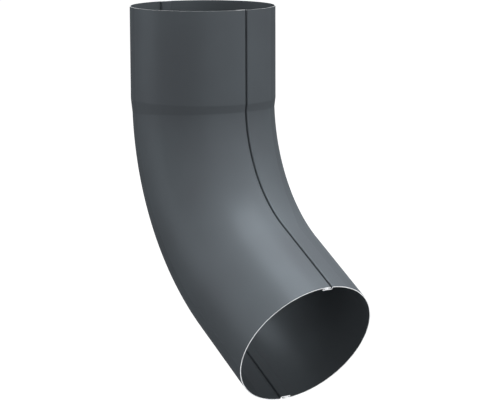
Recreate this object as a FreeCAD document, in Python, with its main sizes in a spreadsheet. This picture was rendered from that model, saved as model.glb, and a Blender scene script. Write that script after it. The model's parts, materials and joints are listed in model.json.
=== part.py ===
import FreeCAD, Part
import math
import os

import Sketcher

# A round downspout elbow in coated sheet steel, in millimetres and degrees.
# Two pressed half shells meet in the plane of the bend and are locked together by two
# folded seams, one along the throat and one along the heel.
# Frame: the origin is the centre of the socket's rim, +Z points up along the socket, the
# bend lies in the XZ plane and carries the water towards +X, and -Y is the near side.

SIZES = [
    ("tube_diameter", 100.0, "outside diameter of the bend and the outlet leg"),
    ("sheet_thickness", 0.6, "the coated steel sheet"),
    ("socket_play", 0.3, "room all round between a tube and the socket's inside"),
    ("socket_length", 64.5, "straight socket, from its rim to the start of the bend"),
    ("step_length", 8.2, "step from the socket to the tube, along the centre line"),
    ("bend_radius", 139.5, "radius of the bend's centre line"),
    ("bend_angle", 60.0, "turn of the bend"),
    ("outlet_length", 63.5, "straight leg after the bend"),
    ("layer_gap", 0.05, "gap between two layers of a seam"),
    ("fold_reach", 2.1, "how far the outer fold passes the plane of the bend"),
    ("hook_reach", 4.2, "how far the inner hook passes that plane, the other way"),
    ("groove_width", 1.3, "open groove from the outer fold to the sunk edge beside it"),
    ("return_room", 1.2, "room between the end of a return and the fold that holds it"),
]

# Both shells have one section. The far one's is turned half a turn about the tube's axis.
SHELLS = {"near_half_shell": 0.0, "far_half_shell": math.pi}

Z_AXIS = FreeCAD.Vector(0, 0, 1)


def make_sheet(doc):
    sheet = doc.addObject("Spreadsheet::Sheet", "Sizes")
    for row, (alias, value, meaning) in enumerate(SIZES, start=1):
        sheet.set(f"A{row}", meaning)
        sheet.set(f"B{row}", str(value))
        sheet.setAlias(f"B{row}", alias)
    doc.recompute()
    return sheet


def from_sizes(text):
    """Turn a formula in the sheet's words into one that any object can hold."""
    for alias, value, meaning in SIZES:
        text = text.replace(alias, f"Sizes.{alias}")
    return text


def layer_faces(rim):
    """The outer and inner radius of the seam's four layers, as formulas, from outside in.

    The first is the outer sheet, the second the hook's return, the third the fold's
    return and the fourth the sunk edge.
    """
    pitch = "(sheet_thickness + layer_gap)"
    return [(f"{rim} - {number} * {pitch}", f"{rim} - {number} * {pitch} - sheet_thickness")
            for number in range(4)]


def place(radius, angle, sideways=0):
    """The point at a radius and an angle about the tube's axis, shifted round by sideways."""
    outwards = FreeCAD.Vector(math.cos(angle), math.sin(angle), 0)
    round_about = FreeCAD.Vector(-math.sin(angle), math.cos(angle), 0)
    return outwards * radius + round_about * sideways


class Outline:
    """A closed chain of curves in a sketch: flats, and arcs about the tube's axis."""

    def __init__(self, sketch, turn):
        self.sketch = sketch
        self.turn = turn
        self.curves = {}

    def value(self, formula):
        return float(self.sketch.evalExpression(from_sizes(formula)))

    def hold(self, *constraint):
        return self.sketch.addConstraint(Sketcher.Constraint(*constraint))

    def drive(self, name, formula, kind, *places):
        """A dimension that follows a formula."""
        number = self.hold(kind, *places, self.value(formula))
        self.sketch.renameConstraint(number, name)
        self.sketch.setExpression(f"Constraints.{name}", from_sizes(formula))

    def trace(self, corners):
        """Draw the chain. Each curve has a name, a kind and the corner that it starts from."""
        ends = {}
        for (name, kind, begin), (_, _, finish) in zip(corners, corners[1:] + corners[:1]):
            if kind == "flat":
                curve = Part.LineSegment(begin, finish)
            else:
                first, last = (begin, finish) if kind == "onwards" else (finish, begin)
                circle = Part.Circle(FreeCAD.Vector(), Z_AXIS, begin.Length)
                curve = Part.ArcOfCircle(circle, math.atan2(first.y, first.x), math.atan2(last.y, last.x))
            self.curves[name] = self.sketch.addGeometry(curve, False)
            ends[name] = (2, 1) if kind == "backwards" else (1, 2)
            if kind != "flat":
                self.hold("Coincident", self.curves[name], 3, -1, 1)
        names = list(self.curves)
        for name, after in zip(names, names[1:] + names[:1]):
            self.hold("Coincident", self.curves[name], ends[name][1], self.curves[after], ends[after][0])

    def radius(self, name, formula):
        self.drive(f"{name}_radius", formula, "Radius", self.curves[name])

    def height(self, name, end, formula, above):
        """The distance of a flat's end from the plane of the bend, on one side of it."""
        point = (self.curves[name], end)
        above = above if self.turn == 0 else not above
        places = (-1, 1, *point) if above else (*point, -1, 1)
        self.drive(f"{name}_height", formula, "DistanceY", *places)

    def radial(self, name):
        self.hold("PointOnObject", -1, 1, self.curves[name])

    def corner(self, name, length, before=None, after=None):
        """A flat of one length at 45 degrees to the flat before it or after it."""
        pair = (before, name) if before else (name, after)
        self.hold("Angle", *(self.curves[one] for one in pair), math.pi / 4)
        self.drive(f"{name}_length", length, "Distance", self.curves[name])


def draw_sheet_section(sketch, rim, turn):
    """Draw the cross section of one half shell, whose outside radius is the formula rim.

    One edge is folded back under itself, over the other shell's hook. The other edge is
    sunk by four layers and hooked outwards, into the other shell's fold. Each fold is
    square inside, and a flat at 45 degrees takes off its outer corners, just so far that
    the sheet keeps its thickness there.
    """
    outline = Outline(sketch, turn)
    corner_flat = "(2 * sqrt(2) - 2) * sheet_thickness"
    fold_inside_reach = "fold_reach - sheet_thickness"
    hook_inside_reach = "hook_reach - sheet_thickness"
    back_end = f"{hook_inside_reach} - return_room"
    return_end = f"{fold_inside_reach} - return_room"
    wall_height = "fold_reach + groove_width"
    layers = layer_faces(rim)

    (outer, inner), (hook_outer, hook_inner), (back_outer, back_inner), (sunk_outer, sunk_inner) = [
        [outline.value(face) for face in layer] for layer in layers]
    thick = outline.value("sheet_thickness")
    cut = outline.value(corner_flat) / math.sqrt(2)

    # The fold is drawn on the throat and the hook on the heel.
    throat = 2 * math.pi + turn
    heel = math.pi + turn
    at_fold = throat + math.asin(outline.value("fold_reach") / (outer - cut))
    at_fold_inside = throat + math.asin(outline.value(fold_inside_reach) / inner)
    at_back_end = throat - math.asin(outline.value(back_end) / back_outer)
    at_hook = heel - math.asin(outline.value("hook_reach") / (hook_outer - cut))
    at_hook_inside = heel - math.asin(outline.value(hook_inside_reach) / hook_inner)
    at_return_end = heel + math.asin(outline.value(return_end) / hook_outer)
    at_wall = heel + math.asin(outline.value(wall_height) / sunk_outer)

    outline.trace([
        ("outside", "onwards", place(outer, at_wall, cut)),
        ("fold_outer_corner", "flat", place(outer, at_fold, -cut)),
        ("fold_rim", "flat", place(outer - cut, at_fold)),
        ("fold_inner_corner", "flat", place(back_inner + cut, at_fold)),
        ("back_inside", "backwards", place(back_inner, at_fold, -cut)),
        ("back_edge", "flat", place(back_inner, at_back_end)),
        ("back_outside", "onwards", place(back_outer, at_back_end)),
        ("fold_inside", "flat", place(back_outer, at_fold_inside)),
        ("inside", "backwards", place(inner, at_fold_inside)),
        ("wall_inside", "flat", place(inner, at_wall, thick)),
        ("foot_corner", "flat", place(sunk_inner + cut, at_wall, thick)),
        ("sunk_inside", "backwards", place(sunk_inner, at_wall, thick - cut)),
        ("hook_inner_corner", "flat", place(sunk_inner, at_hook, cut)),
        ("hook_rim", "flat", place(sunk_inner + cut, at_hook)),
        ("hook_outer_corner", "flat", place(hook_outer - cut, at_hook)),
        ("return_outside", "onwards", place(hook_outer, at_hook, cut)),
        ("return_edge", "flat", place(hook_outer, at_return_end)),
        ("return_inside", "backwards", place(hook_inner, at_return_end)),
        ("hook_inside", "flat", place(hook_inner, at_hook_inside)),
        ("sunk_outside", "onwards", place(sunk_outer, at_hook_inside)),
        ("wall_outside", "flat", place(sunk_outer, at_wall)),
        ("crest_corner", "flat", place(outer - cut, at_wall)),
    ])

    faces = (("outside", "inside"), ("return_outside", "return_inside"),
             ("back_outside", "back_inside"), ("sunk_outside", "sunk_inside"))
    for pair, layer in zip(faces, layers):
        for name, formula in zip(pair, layer):
            outline.radius(name, formula)

    for name in ("fold_rim", "back_edge", "fold_inside",
                 "hook_rim", "return_edge", "hook_inside", "wall_outside"):
        outline.radial(name)
    outline.height("fold_rim", 1, "fold_reach", above=True)
    outline.height("fold_inside", 2, fold_inside_reach, above=True)
    outline.height("back_edge", 2, back_end, above=False)
    outline.height("hook_rim", 2, "hook_reach", above=True)
    outline.height("hook_inside", 1, hook_inside_reach, above=True)
    outline.height("return_edge", 1, return_end, above=False)
    outline.height("wall_outside", 1, wall_height, above=False)

    outline.corner("fold_outer_corner", corner_flat, after="fold_rim")
    outline.corner("fold_inner_corner", corner_flat, before="fold_rim")
    outline.corner("hook_inner_corner", corner_flat, after="hook_rim")
    outline.corner("hook_outer_corner", corner_flat, before="hook_rim")
    outline.corner("foot_corner", corner_flat, before="wall_inside")
    outline.corner("crest_corner", corner_flat, before="wall_outside")
    wall_inside, wall_outside = outline.curves["wall_inside"], outline.curves["wall_outside"]
    outline.hold("Parallel", wall_inside, wall_outside)
    outline.drive("wall_thickness", "sheet_thickness", "Distance", wall_inside, 1, wall_outside)


def draw_bend_axis(sketch):
    """Add the axis that the bend turns about, as a construction line on the throat side."""
    outline = Outline(sketch, 0)
    reach = outline.value("bend_radius")
    line = Part.LineSegment(FreeCAD.Vector(reach, 0, 0), FreeCAD.Vector(reach, reach, 0))
    number = sketch.addGeometry(line, True)
    outline.hold("PointOnObject", number, 1, -1)
    outline.hold("Vertical", number)
    outline.drive("bend_axis", "bend_radius", "DistanceX", -1, 1, number, 1)
    outline.drive("bend_axis_length", "bend_radius", "DistanceY", number, 1, number, 2)


def make_section(body, name, rim, turn, angle):
    """Make a section of one shell, square to the centre line, where it has turned by angle."""
    sketch = body.newObject("Sketcher::SketchObject", name)
    plane = next(part for part in body.Origin.OriginFeatures if part.Role == "XY_Plane")
    sketch.AttachmentSupport = [(plane, "")]
    sketch.MapMode = "FlatFace"
    if angle:
        degrees = float(sketch.evalExpression(from_sizes(angle)))
        tilt = FreeCAD.Rotation(FreeCAD.Vector(0, -1, 0), degrees)
        sketch.AttachmentOffset = FreeCAD.Placement(FreeCAD.Vector(), tilt)
        sketch.setExpression("AttachmentOffset.Rotation.Angle", from_sizes(angle))
        sketch.setExpression("AttachmentOffset.Base.x", from_sizes(f"bend_radius * (1 - cos({angle}))"))
    drop = f"-socket_length - bend_radius * sin({angle})" if angle else "-socket_length"
    sketch.setExpression("AttachmentOffset.Base.z", from_sizes(drop))
    draw_sheet_section(sketch, rim, turn)
    return sketch


def make_shell(doc, name, turn):
    body = doc.addObject("PartDesign::Body", name)
    body.Label = name
    body.Placement = FreeCAD.Placement()

    tube_rim = "tube_diameter / 2"
    socket_rim = "(tube_diameter / 2 + socket_play + sheet_thickness)"
    step_angle = "(step_length / bend_radius * 180 / pi)"
    socket_section = make_section(body, f"{name}_socket_section", socket_rim, turn, None)
    tube_section = make_section(body, f"{name}_tube_section", tube_rim, turn, step_angle)
    draw_bend_axis(tube_section)
    outlet_section = make_section(body, f"{name}_outlet_section", tube_rim, turn, "bend_angle")
    doc.recompute()

    socket = body.newObject("PartDesign::Pad", f"{name}_socket")
    socket.Profile = socket_section
    socket.setExpression("Length", from_sizes("socket_length"))

    step = body.newObject("PartDesign::AdditiveLoft", f"{name}_step")
    step.Profile = socket_section
    step.Sections = [tube_section]
    step.Ruled = True

    bend = body.newObject("PartDesign::Revolution", f"{name}_bend")
    bend.Profile = tube_section
    bend.ReferenceAxis = (tube_section, ["Axis0"])
    bend.Reversed = True
    bend.setExpression("Angle", from_sizes(f"bend_angle - {step_angle}"))

    outlet = body.newObject("PartDesign::Pad", f"{name}_outlet")
    outlet.Profile = outlet_section
    outlet.Reversed = True
    outlet.setExpression("Length", from_sizes("outlet_length"))
    doc.recompute()
    return body


def check(doc, bodies):
    failed = [item.Name for item in doc.Objects if {"Invalid", "Error"} & set(item.State)]
    if failed:
        raise RuntimeError("not recomputed: " + ", ".join(failed))
    loose = [item.Name for item in doc.findObjects("Sketcher::SketchObject") if not item.FullyConstrained]
    if loose:
        raise RuntimeError("not fully constrained: " + ", ".join(loose))
    for body in bodies:
        if body.Shape.isNull() or not body.Shape.isValid():
            raise RuntimeError(f"{body.Label} has no valid shape")
        if len(body.Shape.Solids) != 1:
            raise RuntimeError(f"{body.Label} is not one solid")


def main():
    doc = FreeCAD.newDocument("downspout_elbow")
    make_sheet(doc)
    bodies = [make_shell(doc, name, turn) for name, turn in SHELLS.items()]
    check(doc, bodies)
    os.makedirs("parts", exist_ok=True)
    for body in bodies:
        body.Shape.exportStep(f"parts/{body.Label}.step")
        box = body.Shape.optimalBoundingBox(False, False)
        corners = (box.XMin, box.XMax, box.YMin, box.YMax, box.ZMin, box.ZMax)
        print(body.Label, f"{body.Shape.Volume:.1f} mm3", [round(corner, 2) for corner in corners])


main()
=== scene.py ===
import json
import math

import bpy
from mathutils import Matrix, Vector


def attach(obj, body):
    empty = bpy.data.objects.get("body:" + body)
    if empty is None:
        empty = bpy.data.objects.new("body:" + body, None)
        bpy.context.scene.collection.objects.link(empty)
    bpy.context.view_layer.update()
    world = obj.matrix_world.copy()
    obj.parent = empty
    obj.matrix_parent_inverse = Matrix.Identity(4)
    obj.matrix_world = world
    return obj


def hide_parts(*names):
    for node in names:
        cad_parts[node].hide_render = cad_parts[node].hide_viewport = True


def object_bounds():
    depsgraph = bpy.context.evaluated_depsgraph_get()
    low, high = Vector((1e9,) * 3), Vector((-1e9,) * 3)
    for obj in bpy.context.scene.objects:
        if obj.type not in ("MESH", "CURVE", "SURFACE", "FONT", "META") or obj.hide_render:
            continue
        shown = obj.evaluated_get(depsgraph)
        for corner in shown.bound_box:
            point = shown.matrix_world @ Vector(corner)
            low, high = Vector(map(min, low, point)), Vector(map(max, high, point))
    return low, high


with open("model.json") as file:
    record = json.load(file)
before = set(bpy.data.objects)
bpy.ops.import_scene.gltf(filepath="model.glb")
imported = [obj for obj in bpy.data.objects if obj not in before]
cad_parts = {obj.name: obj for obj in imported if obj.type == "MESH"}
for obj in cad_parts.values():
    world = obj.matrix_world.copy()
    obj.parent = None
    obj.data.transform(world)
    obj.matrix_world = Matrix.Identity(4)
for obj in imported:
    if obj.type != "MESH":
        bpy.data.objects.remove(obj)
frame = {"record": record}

# A round downspout elbow of coil-coated sheet steel: two pressed half shells, locked
# together by a folded seam along the throat of the bend and another along its heel.
# The origin is the centre of the socket's rim. The pipe runs straight down from there,
# bends in the XZ plane and ends in a straight outlet leg that points towards +X and down.

# Lengths are in metres, and MM turns a size in millimetres into one.
MM = 0.001

cad_low, cad_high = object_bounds()
mounts = {mount["name"]: mount for mount in frame["record"]["mounts"]}
socket = mounts["inlet_socket"]
spigot = mounts["outlet_spigot"]

# The elbow's centre line, from its two mounts.
TUBE_RADIUS = spigot["dims"]["r_mm"] * MM
SOCKET_BORE_RADIUS = socket["dims"]["r_mm"] * MM
SOCKET_LENGTH = socket["dims"]["length_mm"] * MM
OUTLET_LENGTH = spigot["dims"]["length_mm"] * MM
OUTLET_WAY = Vector(spigot["axis"])
BEND_ANGLE = Vector((0, 0, -1)).angle(OUTLET_WAY)
OUTLET_START = Vector(spigot["pos_m"]) - OUTLET_WAY * OUTLET_LENGTH / 2
BEND_RADIUS = OUTLET_START.x / (1 - math.cos(BEND_ANGLE))
BEND_PIVOT = Vector((BEND_RADIUS, 0, -SOCKET_LENGTH))

# The sheet and its seams. A reach is how far a fold goes past the middle of its seam.
SHEET = 0.6 * MM
SEAM_LAYERS = 4
LAYER_GAP = 0.05 * MM
LAYER_PITCH = SHEET + LAYER_GAP
FOLD_REACH = 2.1 * MM
HOOK_REACH = 4.2 * MM
GROOVE_WIDTH = 1.3 * MM
RETURN_ROOM = 1.2 * MM
CREST_RADIUS = 0.5 * MM

# The step from the socket to the tube.
STEP_LENGTH = 8.2 * MM
STEP_ROUNDING = 1.0 * MM

# How finely each stretch is drawn.
WALL_STEPS = 120
FOLD_STEPS = 12
CREST_STEPS = 6
SEAM_FLAT_STEPS = 2
SOCKET_STEPS = 6
LEAD_STEPS = 3
STEP_STEPS = 30
BEND_STEPS = 96
OUTLET_STEPS = 6
MERGE_DISTANCE = 0.001 * MM
SMOOTH_ANGLE = math.radians(30)

# Each shell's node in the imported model, and how far it is turned about the socket's axis.
SHELLS = {
    "pressed_shell_near": ("near_half_shell", 0.0),
    "pressed_shell_far": ("far_half_shell", math.pi),
}

# The finishes' patterns, by the size of their lumps and how deep they go. The torn steel's
# real grain is about 0.1 mm wide, and it is drawn as coarse as it needs to show.
PAINT_CLOUD_SIZE = 60 * MM
ORANGE_PEEL_SIZE = 1.2 * MM
ORANGE_PEEL_DEPTH = 0.01 * MM
ZINC_SMEAR_SIZE = 5 * MM
TORN_GRAIN_SIZE = 1.0 * MM
TORN_GRAIN_DEPTH = 0.06 * MM

# Most of a noise pattern lies between these two values.
NOISE_LOW = 0.35
NOISE_HIGH = 0.65

# The Mix node's sockets that take and give colours.
MIX_FIRST_COLOUR = 6
MIX_SECOND_COLOUR = 7
MIX_RESULT_COLOUR = 2

# The floor lies far enough below the elbow to keep its shadow out of the camera's frame.
# Its glow rises from the middle outwards, as the lamps' light on it falls.
FLOOR_DROP = 290 * MM
FLOOR_SIZE = 60.0
FLOOR_GLOW_IN_THE_MIDDLE = 0.26
FLOOR_GLOW_REACH = 2.4

# How strong the world is where it is seen, and where it lights the elbow.
SEEN_WORLD = 1.0
LIGHTING_WORLD = 0.1

# Each lamp's azimuth, elevation, distance, size and power, in degrees, metres and watts.
# Azimuth 0 stands on the -Y side and 90 on the +X side.
LAMPS = {
    "overhead": (0, 88, 1.6, 1.0, 51.5),
    "high_behind": (160, 63, 1.7, 1.2, 26.6),
    "behind_right": (119, 16, 1.7, 1.2, 8.5),
    "right": (77, 12, 1.7, 1.2, 9.3),
    "near_left": (319, 14, 1.7, 1.2, 16.7),
}

# The camera, with its angles in degrees and its focal length in pixels.
CAMERA_PLACE = (1.1632, -0.7427, 0.1072)
CAMERA_AZIMUTH = 56.053
CAMERA_ELEVATION = 9.357
CAMERA_ROLL = 0.184
CAMERA_SHIFT = -0.05
FOCAL_PIXELS = 1974.0
IMAGE_WIDTH = 500
SENSOR_WIDTH = 36.0


def linear(hex_colour):
    """An sRGB colour such as #4A5154 as linear values."""
    channels = [int(hex_colour[place:place + 2], 16) / 255 for place in (1, 3, 5)]
    return [c / 12.92 if c <= 0.04045 else ((c + 0.055) / 1.055) ** 2.4 for c in channels] + [1.0]


def add_node(tree, kind, settings=None, inputs=None):
    """Add a shader node, with its settings by name and its inputs as values or sockets."""
    node = tree.nodes.new(kind)
    for name, value in (settings or {}).items():
        setattr(node, name, value)
    for name, value in (inputs or {}).items():
        if isinstance(value, bpy.types.NodeSocket):
            tree.links.new(value, node.inputs[name])
        else:
            node.inputs[name].default_value = value
    return node


def new_material(name):
    """A material with an empty node tree, and the tree."""
    material = bpy.data.materials.new(name)
    material.use_nodes = True
    material.node_tree.nodes.clear()
    return material, material.node_tree


def coil_coated_steel():
    """Steel coil with a polyester paint, rolled on and baked, the same on both sides.

    To the eye it is an even satin grey. The rolls leave a fine, shallow orange peel, and a
    little metal flake in the paint gives it a soft, wide sheen that is weak at the limbs.
    That sheen is all its gloss: a clear film's would show the white room along the limbs.
    """
    material, tree = new_material("coil_coated_steel")
    place = add_node(tree, "ShaderNodeTexCoord").outputs["Object"]
    cloud = add_node(tree, "ShaderNodeTexNoise", {},
                     {"Vector": place, "Scale": 1 / PAINT_CLOUD_SIZE, "Detail": 2.0,
                      "Roughness": 0.5})
    cloud_share = add_node(tree, "ShaderNodeMapRange", {},
                           {"Value": cloud.outputs["Fac"], "From Min": NOISE_LOW,
                            "From Max": NOISE_HIGH})
    colour = add_node(tree, "ShaderNodeMix", {"data_type": "RGBA"},
                      {"Factor": cloud_share.outputs["Result"],
                       MIX_FIRST_COLOUR: linear("#4A4E52"), MIX_SECOND_COLOUR: linear("#4D5256")})
    peel = add_node(tree, "ShaderNodeTexNoise", {},
                    {"Vector": place, "Scale": 1 / ORANGE_PEEL_SIZE, "Detail": 1.0,
                     "Roughness": 0.4})
    satin = add_node(tree, "ShaderNodeMapRange", {},
                     {"Value": peel.outputs["Fac"], "From Min": NOISE_LOW,
                      "From Max": NOISE_HIGH, "To Min": 0.32, "To Max": 0.36})
    bump = add_node(tree, "ShaderNodeBump", {},
                    {"Strength": 0.15, "Distance": ORANGE_PEEL_DEPTH,
                     "Height": peel.outputs["Fac"]})
    paint = add_node(tree, "ShaderNodeBsdfPrincipled", {},
                     {"Base Color": colour.outputs[MIX_RESULT_COLOUR],
                      "Roughness": satin.outputs["Result"], "Metallic": 0.072, "IOR": 1.5,
                      "Specular IOR Level": 0.0, "Specular Tint": linear("#787878"),
                      "Normal": bump.outputs["Normal"]})
    add_node(tree, "ShaderNodeOutputMaterial", {}, {"Surface": paint.outputs["BSDF"]})
    return material


def sheared_steel_edge():
    """The sheet's sheared edge: bare steel between two films of zinc.

    The shear smears the zinc along part of the cut and tears the rest, so the edge is bright
    with duller stretches of a few millimetres, and rough enough to go dim along the cut.
    """
    material, tree = new_material("sheared_steel_edge")
    place = add_node(tree, "ShaderNodeTexCoord").outputs["Object"]
    smear = add_node(tree, "ShaderNodeTexNoise", {},
                     {"Vector": place, "Scale": 1 / ZINC_SMEAR_SIZE, "Detail": 2.0,
                      "Roughness": 0.5})
    smear_share = add_node(tree, "ShaderNodeMapRange", {},
                           {"Value": smear.outputs["Fac"], "From Min": NOISE_LOW,
                            "From Max": NOISE_HIGH})
    colour = add_node(tree, "ShaderNodeMix", {"data_type": "RGBA"},
                      {"Factor": smear_share.outputs["Result"],
                       MIX_FIRST_COLOUR: linear("#DCDEE0"), MIX_SECOND_COLOUR: linear("#F2F4F6")})
    polish = add_node(tree, "ShaderNodeMapRange", {},
                      {"Value": smear.outputs["Fac"], "From Min": NOISE_LOW,
                       "From Max": NOISE_HIGH, "To Min": 0.45, "To Max": 0.35})
    grain = add_node(tree, "ShaderNodeTexNoise", {},
                     {"Vector": place, "Scale": 1 / TORN_GRAIN_SIZE, "Detail": 1.0,
                      "Roughness": 0.5})
    bump = add_node(tree, "ShaderNodeBump", {},
                    {"Strength": 0.3, "Distance": TORN_GRAIN_DEPTH,
                     "Height": grain.outputs["Fac"]})
    edge = add_node(tree, "ShaderNodeBsdfPrincipled", {},
                    {"Base Color": colour.outputs[MIX_RESULT_COLOUR], "Metallic": 1.0,
                     "Roughness": polish.outputs["Result"], "Specular Tint": linear("#7A7A7A"),
                     "Normal": bump.outputs["Normal"]})
    add_node(tree, "ShaderNodeOutputMaterial", {}, {"Surface": edge.outputs["BSDF"]})
    return material


def draw_flat(way):
    """Draw on from the selected points along a way."""
    bpy.ops.mesh.extrude_region_move(TRANSFORM_OT_translate={"value": way})


def draw_arc(steps, angle, centre, axis=(0, 0, 1)):
    """Draw on from the selected points round a centre, clockwise as the axis's tip sees it."""
    bpy.ops.mesh.spin(steps=steps, angle=angle, center=centre, axis=axis)


def on_ring(radius, sideways, side):
    """The point at a radius from the tube's axis on the throat side (1) or the heel side (-1)."""
    return Vector((side * math.sqrt(radius ** 2 - sideways ** 2), sideways, 0))


def turn_between(begin, finish):
    """The angle about the tube's axis from one point to another, the short way round."""
    return math.remainder(math.atan2(finish.y, finish.x) - math.atan2(begin.y, begin.x), 2 * math.pi)


def draw_sheet_line(rim):
    """Draw the middle line of one half shell's sheet, as it is folded, at the socket's rim.

    It runs from the end of the return under the outer fold, round the fold on the throat,
    along the near wall, down over the crest on the heel and round the hook to its end.
    The layers of a seam lie one pitch apart, from the wall on the outside to the sunk one.
    """
    half = SHEET / 2
    wall, hook_return, fold_return = [rim - half - layer * LAYER_PITCH for layer in range(3)]
    fold_centre = on_ring(hook_return, FOLD_REACH - LAYER_PITCH - half, 1)
    fold_outwards = fold_centre.normalized() * LAYER_PITCH
    fold_low = fold_centre - fold_outwards
    fold_high = fold_centre + fold_outwards
    return_start = on_ring(fold_return, -(HOOK_REACH - SHEET - RETURN_ROOM), 1)

    crest_start = on_ring(wall, -(FOLD_REACH + GROOVE_WIDTH + half + CREST_RADIUS), -1)
    inwards = -crest_start.normalized()
    onwards = Vector((-inwards.y, inwards.x, 0))
    crest_centre = crest_start + inwards * CREST_RADIUS
    drop = (SEAM_LAYERS - 1) * LAYER_PITCH - 2 * CREST_RADIUS
    foot_centre = crest_centre + onwards * 2 * CREST_RADIUS + inwards * drop
    foot_end = foot_centre + inwards * CREST_RADIUS

    hook_centre = on_ring(fold_return, HOOK_REACH - LAYER_PITCH - half, -1)
    hook_outwards = hook_centre.normalized() * LAYER_PITCH
    hook_low = hook_centre - hook_outwards
    hook_high = hook_centre + hook_outwards
    return_end = on_ring(hook_return, -(FOLD_REACH - SHEET - RETURN_ROOM), -1)

    bpy.ops.mesh.merge(type="CENTER")
    bpy.ops.transform.translate(value=return_start)
    draw_arc(SEAM_FLAT_STEPS, -turn_between(return_start, fold_low), (0, 0, 0))
    draw_arc(FOLD_STEPS, math.pi, fold_centre)
    draw_arc(WALL_STEPS, -turn_between(fold_high, crest_start), (0, 0, 0))
    draw_arc(CREST_STEPS, math.pi / 2, crest_centre)
    draw_flat(inwards * drop)
    draw_arc(CREST_STEPS, -math.pi / 2, foot_centre)
    draw_arc(SEAM_FLAT_STEPS, -turn_between(foot_end, hook_low), (0, 0, 0))
    draw_arc(FOLD_STEPS, -math.pi, hook_centre)
    draw_arc(SEAM_FLAT_STEPS, -turn_between(hook_high, return_end), (0, 0, 0))


def step_share(along):
    """How far the socket has narrowed to the tube, from 0 to 1, at a length along the step.

    The step is a cone. Its two corners are rounded, half on the cone and half beyond it.
    """
    half = STEP_ROUNDING / 2
    before = along + half
    behind = STEP_LENGTH + half - along
    if before < STEP_ROUNDING:
        return before ** 2 / (2 * STEP_ROUNDING) / STEP_LENGTH
    if behind < STEP_ROUNDING:
        return 1 - behind ** 2 / (2 * STEP_ROUNDING) / STEP_LENGTH
    return along / STEP_LENGTH


def narrow(size, rim, along, centre):
    """Bring the selected line from one size to the size that the step has at a length along it."""
    narrowed = rim + (TUBE_RADIUS - rim) * step_share(along)
    bpy.ops.transform.resize(value=(narrowed / size,) * 3, center_override=centre)
    return narrowed


def sweep_along_elbow(rim):
    """Draw the selected line on, down the socket, over the step, round the bend and along the leg."""
    lead = STEP_ROUNDING / 2
    for step in range(SOCKET_STEPS):
        draw_flat((0, 0, -(SOCKET_LENGTH - lead) / SOCKET_STEPS))

    size = rim
    for step in range(1, LEAD_STEPS + 1):
        draw_flat((0, 0, -lead / LEAD_STEPS))
        along = lead * (step / LEAD_STEPS - 1)
        size = narrow(size, rim, along, Vector((0, 0, -SOCKET_LENGTH - along)))

    step_angle = (STEP_LENGTH + lead) / BEND_RADIUS
    for step in range(1, STEP_STEPS + 1):
        draw_arc(1, step_angle / STEP_STEPS, BEND_PIVOT, (0, 1, 0))
        turned = step_angle * step / STEP_STEPS
        centre = BEND_PIVOT + BEND_RADIUS * Vector((-math.cos(turned), 0, -math.sin(turned)))
        size = narrow(size, rim, turned * BEND_RADIUS, centre)

    draw_arc(BEND_STEPS, BEND_ANGLE - step_angle, BEND_PIVOT, (0, 1, 0))
    for step in range(OUTLET_STEPS):
        draw_flat(OUTLET_WAY * OUTLET_LENGTH / OUTLET_STEPS)


def make_shell(name, turn, materials):
    """Model one half shell: the folded sheet's line, swept along the elbow and thickened."""
    bpy.ops.object.select_all(action="DESELECT")
    bpy.ops.mesh.primitive_circle_add(vertices=3, radius=SHEET, location=(0, 0, 0))
    shell = bpy.context.active_object
    shell.name = name
    shell.data.name = name
    bpy.ops.object.mode_set(mode="EDIT")

    rim = SOCKET_BORE_RADIUS + SHEET
    draw_sheet_line(rim)
    bpy.ops.mesh.select_all(action="SELECT")
    bpy.ops.transform.rotate(value=turn, orient_axis="Z", center_override=(0, 0, 0))
    sweep_along_elbow(rim)

    bpy.ops.mesh.select_all(action="SELECT")
    bpy.ops.mesh.remove_doubles(threshold=MERGE_DISTANCE)
    bpy.ops.mesh.normals_make_consistent(inside=False)
    bpy.ops.object.mode_set(mode="OBJECT")

    for material in materials:
        shell.data.materials.append(material)
    wall = shell.modifiers.new("sheet", "SOLIDIFY")
    wall.thickness = SHEET
    wall.offset = 0.0
    wall.use_even_offset = True
    wall.use_rim = True
    wall.material_offset_rim = 1
    bpy.ops.object.modifier_apply(modifier=wall.name)
    bpy.ops.object.shade_smooth_by_angle(angle=SMOOTH_ANGLE)
    return shell


def make_shells():
    """Both half shells, painted, with a bare cut edge all round each."""
    materials = (coil_coated_steel(), sheared_steel_edge())
    for name, (node, turn) in SHELLS.items():
        shell = make_shell(name, turn, materials)
        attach(shell, "root")
        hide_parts(node)


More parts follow.
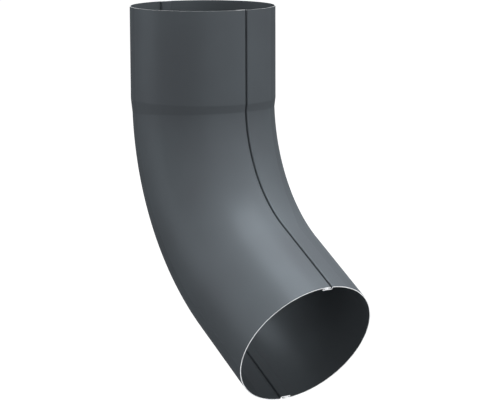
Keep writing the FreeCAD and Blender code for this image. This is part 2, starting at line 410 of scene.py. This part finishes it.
def make_floor():
    """A floor of matt paper, which shows as plain white and keeps the elbow's soft shadow.

    Only the camera, reflections and glass see its glow, so it puts no light on the elbow.
    """
    bpy.ops.object.select_all(action="DESELECT")
    bpy.ops.mesh.primitive_plane_add(size=FLOOR_SIZE, location=(0, 0, cad_low.z - FLOOR_DROP))
    floor = bpy.context.active_object
    floor.name = "studio_floor"
    material, tree = new_material("studio_floor")
    rays = add_node(tree, "ShaderNodeLightPath")
    mirrored = add_node(tree, "ShaderNodeMath", {"operation": "MAXIMUM"},
                        {0: rays.outputs["Is Glossy Ray"], 1: rays.outputs["Is Transmission Ray"]})
    seen = add_node(tree, "ShaderNodeMath", {"operation": "MAXIMUM"},
                    {0: rays.outputs["Is Camera Ray"], 1: mirrored.outputs["Value"]})
    place = add_node(tree, "ShaderNodeTexCoord").outputs["Object"]
    far = add_node(tree, "ShaderNodeVectorMath", {"operation": "LENGTH"}, {0: place})
    level = add_node(tree, "ShaderNodeMapRange", {},
                     {"Value": far.outputs["Value"], "From Min": 0.0,
                      "From Max": FLOOR_GLOW_REACH, "To Min": FLOOR_GLOW_IN_THE_MIDDLE,
                      "To Max": 1.0})
    strength = add_node(tree, "ShaderNodeMath", {"operation": "MULTIPLY"},
                        {0: seen.outputs["Value"], 1: level.outputs["Result"]})
    paper = add_node(tree, "ShaderNodeBsdfDiffuse", {}, {"Color": linear("#A0A0A0")})
    glow = add_node(tree, "ShaderNodeEmission", {},
                    {"Color": linear("#FFFFFF"), "Strength": strength.outputs["Value"]})
    both = add_node(tree, "ShaderNodeAddShader", {},
                    {0: paper.outputs["BSDF"], 1: glow.outputs["Emission"]})
    add_node(tree, "ShaderNodeOutputMaterial", {}, {"Surface": both.outputs["Shader"]})
    floor.data.materials.append(material)


def make_world():
    """A white room, which lights the elbow only a little."""
    world = bpy.data.worlds.new("studio")
    world.use_nodes = True
    bpy.context.scene.world = world
    tree = world.node_tree
    tree.nodes.clear()
    rays = add_node(tree, "ShaderNodeLightPath")
    mirrored = add_node(tree, "ShaderNodeMath", {"operation": "MAXIMUM"},
                        {0: rays.outputs["Is Glossy Ray"], 1: rays.outputs["Is Transmission Ray"]})
    seen = add_node(tree, "ShaderNodeMath", {"operation": "MAXIMUM"},
                    {0: rays.outputs["Is Camera Ray"], 1: mirrored.outputs["Value"]})
    strength = add_node(tree, "ShaderNodeMapRange", {},
                        {"Value": seen.outputs["Value"], "To Min": LIGHTING_WORLD,
                         "To Max": SEEN_WORLD})
    sky = add_node(tree, "ShaderNodeBackground", {},
                   {"Color": linear("#FFFFFF"), "Strength": strength.outputs["Result"]})
    add_node(tree, "ShaderNodeOutputWorld", {}, {"Surface": sky.outputs["Background"]})


def make_lamp(name, azimuth, elevation, distance, size, power):
    """A soft square lamp aimed at the elbow, on the side that azimuth and elevation give."""
    middle = (cad_low + cad_high) / 2
    across, up = math.radians(azimuth), math.radians(elevation)
    away = Vector((math.sin(across) * math.cos(up), -math.cos(across) * math.cos(up), math.sin(up)))
    data = bpy.data.lights.new(name, "AREA")
    data.shape = "SQUARE"
    data.size = size
    data.energy = power
    lamp = bpy.data.objects.new(name, data)
    bpy.context.scene.collection.objects.link(lamp)
    lamp.location = middle + away * distance
    lamp.rotation_euler = away.to_track_quat("Z", "Y").to_euler()


def make_camera():
    """The camera, which stands where the photograph was taken from."""
    data = bpy.data.cameras.new("camera")
    data.sensor_fit = "HORIZONTAL"
    data.sensor_width = SENSOR_WIDTH
    data.lens = FOCAL_PIXELS / IMAGE_WIDTH * SENSOR_WIDTH
    data.shift_y = CAMERA_SHIFT
    camera = bpy.data.objects.new("camera", data)
    bpy.context.scene.collection.objects.link(camera)
    camera.location = CAMERA_PLACE
    camera.rotation_euler = (math.radians(90 - CAMERA_ELEVATION), math.radians(CAMERA_ROLL),
                             math.radians(CAMERA_AZIMUTH))
    bpy.context.scene.camera = camera


make_shells()
make_floor()
make_world()
for lamp_name, lamp_values in LAMPS.items():
    make_lamp(lamp_name, *lamp_values)
make_camera()
bpy.context.scene.view_settings.view_transform = "Standard"
